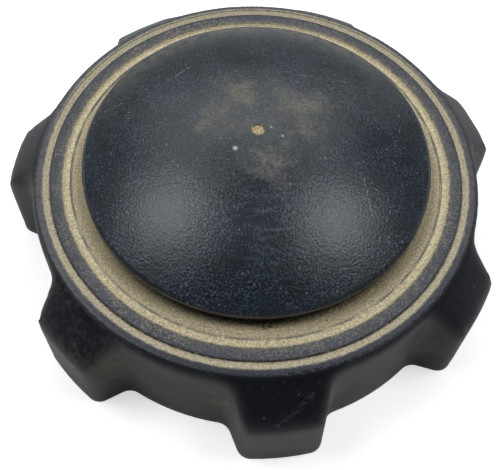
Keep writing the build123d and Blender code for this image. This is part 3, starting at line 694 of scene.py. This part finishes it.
# %% Thread ridge by Geometry Nodes
THREAD = {
    "Wall Radius": 30.35 * MM, "Pitch": 4.0 * MM, "Turns": 1.75, "Ridge Height": 2.6 * MM,
    "Flank Width": 2.2 * MM, "First Height": 1.7 * MM,
}
THREAD_STEPS = 96  # for each turn
LOWER_SHARE = 0.4  # the ridge's width at its lower end against its flank
RUNOUT_SHARE, RUNOUT_SIZE = 0.035, 0.12  # share of the length, and what is left at the tip
tree = bpy.data.node_groups.new("thread_ridge", "GeometryNodeTree")
for name in THREAD:
    tree.interface.new_socket(name, in_out="INPUT", socket_type="NodeSocketFloat")
tree.interface.new_socket("Finish", in_out="INPUT", socket_type="NodeSocketMaterial")
tree.interface.new_socket("Geometry", in_out="OUTPUT", socket_type="NodeSocketGeometry")
given = add(tree, "NodeGroupInput").node.outputs
rise = add(tree, "ShaderNodeMath", {0: given["Pitch"], 1: given["Turns"]}, operation="MULTIPLY")
helix = add(tree, "GeometryNodeCurveSpiral", {
    "Resolution": THREAD_STEPS, "Rotations": given["Turns"], "Reverse": True, "Height": rise,
    "Start Radius": given["Wall Radius"], "End Radius": given["Wall Radius"]})
lift = add(tree, "ShaderNodeCombineXYZ", {"Z": given["First Height"]})
helix = add(tree, "GeometryNodeTransform", {"Geometry": helix, "Translation": lift})
# The ridge runs out over about 20 degrees at both ends, as a mould cutter leaves it.
along = add(tree, "GeometryNodeSplineParameter", output="Factor")
still_to_go = add(tree, "ShaderNodeMath", {0: 1.0, 1: along}, operation="SUBTRACT")
runout = add(tree, "ShaderNodeMath", {0: along, 1: still_to_go}, operation="MINIMUM")
runout = add(tree, "ShaderNodeMapRange",
             {"Value": runout, "From Max": RUNOUT_SHARE, "To Min": RUNOUT_SIZE, "To Max": 1.0})
helix = add(tree, "GeometryNodeSetCurveNormal", {"Curve": helix}, mode="Z_UP")
# About half of the section's width lies in the wall, so that no gap shows.
lower = add(tree, "ShaderNodeMath", {0: given["Flank Width"], 1: LOWER_SHARE}, operation="MULTIPLY")
section = add(tree, "GeometryNodeCurvePrimitiveQuadrilateral", {
    "Height": given["Ridge Height"], "Bottom Width": given["Flank Width"], "Top Width": lower,
    "Offset": 0.0}, mode="TRAPEZOID")
sweep = add(tree, "GeometryNodeCurveToMesh", {
    "Curve": helix, "Profile Curve": section, "Scale": runout, "Fill Caps": True})
sweep = add(tree, "GeometryNodeRealizeInstances", {0: sweep})
sweep = add(tree, "GeometryNodeSetMaterial", {"Geometry": sweep, "Material": given["Finish"]})
tree.links.new(sweep, add(tree, "NodeGroupOutput").inputs[0])
print("thread turns:", THREAD["Turns"], "pitch mm:", round(THREAD["Pitch"] / MM, 2))

# %% [markdown]
# ### From a node tree to a plain mesh
# A node tree only describes a shape.  The part library keeps plain meshes, so
# the tree is run once on an empty object, and its result is kept.

# %% From a node tree to a plain mesh
CREASE_DEG = 30


def into_scene(name, mesh):
    """A new object with this mesh, at the origin."""
    piece = bpy.data.objects.new(name, mesh)
    bpy.context.collection.objects.link(piece)
    return piece


def evaluated_mesh(host):
    """The mesh that an object's modifiers make. The object is removed."""
    evaluated = host.evaluated_get(bpy.context.evaluated_depsgraph_get())
    mesh = bpy.data.meshes.new_from_object(evaluated)
    bpy.data.objects.remove(host)
    return mesh


def plain_mesh(name, tree, values, finish):
    """Runs a geometry node tree with its inputs and keeps the result as a plain mesh object."""
    host = into_scene(name + "_maker", bpy.data.meshes.new(name + "_maker"))
    maker = host.modifiers.new(name, "NODES")
    maker.node_group = tree
    sockets = {item.name: item.identifier for item in tree.interface.items_tree
               if item.in_out == "INPUT"}
    for key, value in values.items():
        maker[sockets[key]] = value
    maker[sockets["Finish"]] = finish
    mesh = evaluated_mesh(host)
    mesh.shade_smooth()
    mesh.set_sharp_from_angle(angle=math.radians(CREASE_DEG))
    reach = sorted(math.hypot(v.co.x, v.co.y) / MM for v in mesh.vertices)
    rise = sorted(v.co.z / MM for v in mesh.vertices)
    print(name, "radius mm", round(reach[0], 2), "to", round(reach[-1], 2),
          "height mm", round(rise[0], 2), "to", round(rise[-1], 2), "faces", len(mesh.polygons))
    return into_scene(name, mesh)


ridge = plain_mesh("thread_ridge", tree, THREAD, bpy.data.materials["satin_black_polypropylene"])
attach(ridge, "closure")

# %% [markdown]
# ## Dust packed in the grooves
# The thin groove in the ledge is full of dust.  In the wide one, and against
# the raised band, it has settled as a slope that climbs outwards.  Colour alone
# would leave the dark wall of each step in view, so the dust is solid.  Geometry
# Nodes sweep a small section round each circle, tilt it and shake it with noise.

# %% Groove dust by Geometry Nodes
PACKED_DUST = {  # mm, and how steeply the dust climbs outwards
    "line_dust": {"Radius": 32.575, "Width": 0.35, "Depth": 0.40, "Surface Height": 21.49,
                  "Unevenness": 0.10, "Slope": 0.0},
    "step_dust": {"Radius": 33.80, "Width": 0.44, "Depth": 0.30, "Surface Height": 21.79,
                  "Unevenness": 0.08, "Slope": 0.60},
    "groove_dust": {"Radius": 36.85, "Width": 1.3, "Depth": 0.35, "Surface Height": 21.74,
                    "Unevenness": 0.10, "Slope": 0.26},
}
DUST_STEPS = 720  # round the circle
tree = bpy.data.node_groups.new("packed_dust", "GeometryNodeTree")
for name in PACKED_DUST["line_dust"]:
    tree.interface.new_socket(name, in_out="INPUT", socket_type="NodeSocketFloat")
tree.interface.new_socket("Finish", in_out="INPUT", socket_type="NodeSocketMaterial")
tree.interface.new_socket("Geometry", in_out="OUTPUT", socket_type="NodeSocketGeometry")
given = add(tree, "NodeGroupInput").node.outputs
circle = add(tree, "GeometryNodeCurvePrimitiveCircle",
             {"Resolution": DUST_STEPS, "Radius": given["Radius"]})
section = add(tree, "GeometryNodeCurvePrimitiveQuadrilateral",
              {"Width": given["Width"], "Height": given["Depth"]})
sweep = add(tree, "GeometryNodeCurveToMesh", {"Curve": circle, "Profile Curve": section})
middle = add(tree, "ShaderNodeMath", {0: given["Depth"], 1: 0.5}, operation="MULTIPLY")
middle = add(tree, "ShaderNodeMath", {0: given["Surface Height"], 1: middle}, operation="SUBTRACT")
point = add(tree, "GeometryNodeInputPosition")
shake = add(tree, "ShaderNodeTexNoise", {"Vector": point, "Scale": 1 / MM})
shake = add(tree, "ShaderNodeMath", {0: shake, 1: 0.5}, operation="SUBTRACT")
shake = add(tree, "ShaderNodeMath", {0: shake, 1: given["Unevenness"]}, operation="MULTIPLY")
flat = add(tree, "ShaderNodeVectorMath", {0: point, 1: (1, 1, 0)}, operation="MULTIPLY")
outward = add(tree, "ShaderNodeVectorMath", {0: flat}, output="Value", operation="LENGTH")
outward = add(tree, "ShaderNodeMath", {0: outward, 1: given["Radius"]}, operation="SUBTRACT")
climb = add(tree, "ShaderNodeMath", {0: outward, 1: given["Slope"]}, operation="MULTIPLY")
lift = add(tree, "ShaderNodeMath", {0: middle, 1: shake}, operation="ADD")
lift = add(tree, "ShaderNodeMath", {0: lift, 1: climb}, operation="ADD")
lift = add(tree, "ShaderNodeCombineXYZ", {"Z": lift})
sweep = add(tree, "GeometryNodeSetPosition", {"Geometry": sweep, "Offset": lift})
sweep = add(tree, "GeometryNodeRealizeInstances", {0: sweep})
sweep = add(tree, "GeometryNodeSetMaterial", {"Geometry": sweep, "Material": given["Finish"]})
tree.links.new(sweep, add(tree, "NodeGroupOutput").inputs[0])
for name, sizes in PACKED_DUST.items():
    values = {key: value if key == "Slope" else value * MM for key, value in sizes.items()}
    dust = plain_mesh(name, tree, values, grip_finish)
    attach(dust, "grip")

# %% [markdown]
# ## Worn-soft lobes
# Years of hands have rounded the lobes' edges, which the CAD model keeps crisp.
# A copy of the grip gets short edges beyond the rim, and a Smooth modifier
# weighted by a vertex group rounds them.  A Bevel modifier would be quicker, but
# it throws spikes where long thin triangles meet.  The rings on top stay as they
# are, and so do the ribs and walls inside the lobes, which no hand has reached.

# %% Copy the grip with short edges beyond the rim
WELD_MM, FLAT_DEG = 0.001, 0.4
LONGEST_EDGE_MM, MOST_CUTS = 0.9, 6
SOFT_FROM_MM, SOFT_FULL_MM = RINGS_MM["rim"] + 0.2, RINGS_MM["rim"] + 1.1
soft_mesh = nodes["grip_shell"].data.copy()
work = bmesh.new()
work.from_mesh(soft_mesh)
bmesh.ops.remove_doubles(work, verts=work.verts, dist=WELD_MM * MM)
bmesh.ops.dissolve_limit(work, angle_limit=math.radians(FLAT_DEG),
                         verts=work.verts, edges=work.edges)
bmesh.ops.triangulate(work, faces=work.faces)
for cut in range(MOST_CUTS):
    long_edges = []
    for rib in work.edges:
        middle = (rib.verts[0].co + rib.verts[1].co) / 2
        outside = math.hypot(middle.x, middle.y) > SOFT_FROM_MM * MM
        if outside and rib.calc_length() > LONGEST_EDGE_MM * MM:
            long_edges.append(rib)
    if not long_edges:
        break
    bmesh.ops.subdivide_edges(work, edges=long_edges, cuts=1)
    bmesh.ops.triangulate(work, faces=[face for face in work.faces if len(face.verts) > 3])
print("soft grip faces:", len(work.faces), "passes:", cut + 1)

# %% Find the points that hands reach
# A ray along a point's normal leaves an outside face freely, and meets the
# next wall soon from an inside one.  Faces that look down are left crisp.
LOOK_FROM_MM, LOOK_MM, LOWEST_NORMAL = 0.3, 12.0, -0.35
work.normal_update()
walls_around = BVHTree.FromBMesh(work)
reached = []
for point in work.verts:
    start = point.co + point.normal * LOOK_FROM_MM * MM
    free = walls_around.ray_cast(start, point.normal, LOOK_MM * MM)[0] is None
    reached.append(free and point.normal.z > LOWEST_NORMAL)
work.to_mesh(soft_mesh)
work.free()
print("points reached:", sum(reached), "of", len(reached))

# %% Round the lobes
# The foot stays crisp too: the weight rises over the first millimetres.  More
# iterations round more, and each one moves a point only a little.
FOOT_MM, FOOT_RISE_MM = 0.3, 2.0
SMOOTH_FACTOR, SMOOTH_ROUNDS = 0.5, 34
soft_grip = into_scene("soft_grip_maker", soft_mesh)
lobes = soft_grip.vertex_groups.new(name="lobes")
for point in soft_mesh.vertices:
    reach_mm = math.hypot(point.co.x, point.co.y) / MM
    out = (reach_mm - SOFT_FROM_MM) / (SOFT_FULL_MM - SOFT_FROM_MM)
    up = (point.co.z / MM - FOOT_MM) / FOOT_RISE_MM
    weight = max(0.0, min(1.0, out, up))
    if weight > 0.0 and reached[point.index]:
        lobes.add([point.index], weight, "REPLACE")
soften = soft_grip.modifiers.new("soften", "SMOOTH")
soften.factor, soften.iterations = SMOOTH_FACTOR, SMOOTH_ROUNDS
soften.vertex_group = lobes.name
rounded = evaluated_mesh(soft_grip)
rounded.shade_smooth()
print("rounded grip points:", len(rounded.vertices))

# %% Give the rounded grip its edges and its body
# The rings keep every small step crisp, while the lobes shade as one soft form.
RING_CREASE_DEG, LOBE_CREASE_DEG = 7, 45
work = bmesh.new()
work.from_mesh(rounded)
for rib in work.edges:
    inner = all(math.hypot(end.co.x, end.co.y) < SOFT_FROM_MM * MM for end in rib.verts)
    crease = math.radians(RING_CREASE_DEG if inner else LOBE_CREASE_DEG)
    rib.smooth = rib.calc_face_angle(0.0) < crease
work.to_mesh(rounded)
work.free()
grip_skin = into_scene("grip_skin", rounded)
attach(grip_skin, "grip")
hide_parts("grip_shell")
print("rounded grip box mm:", [round(v / MM, 2) for v in grip_skin.dimensions])

# %% [markdown]
# ## Spring copies
# A spring shortens when the valve or the ring beside it moves, so a rigid one
# would stick through its neighbour.  The imported record says which joint presses
# which spring and which end stays put.  A copy of each spring is welded, shaded
# smooth and put on the body that holds it, where it stands for the CAD spring.

# %% Spring copies on the bodies that hold them
SPRING_CREASE_DEG = 40
moving = frame["record"]["behaviour"]
body_of = {node: body for body, held in moving["bodies"].items() for node in held}
springs = [(joint, soft) for joint in moving["joints"] for soft in joint.get("deforming_nodes", [])]
for joint, soft in springs:
    name, anchor = soft["node"], (0, 0, soft["fixed_end_z_m"])
    coil_mesh = nodes[name].data.copy()
    work = bmesh.new()
    work.from_mesh(coil_mesh)
    bmesh.ops.remove_doubles(work, verts=work.verts, dist=WELD_MM * MM)
    work.to_mesh(coil_mesh)
    work.free()
    coil_mesh.shade_smooth()
    coil_mesh.set_sharp_from_angle(angle=math.radians(SPRING_CREASE_DEG))
    coil = into_scene(name + "_squashing", coil_mesh)
    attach(coil, body_of[name])
    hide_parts(name)
    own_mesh(coil)
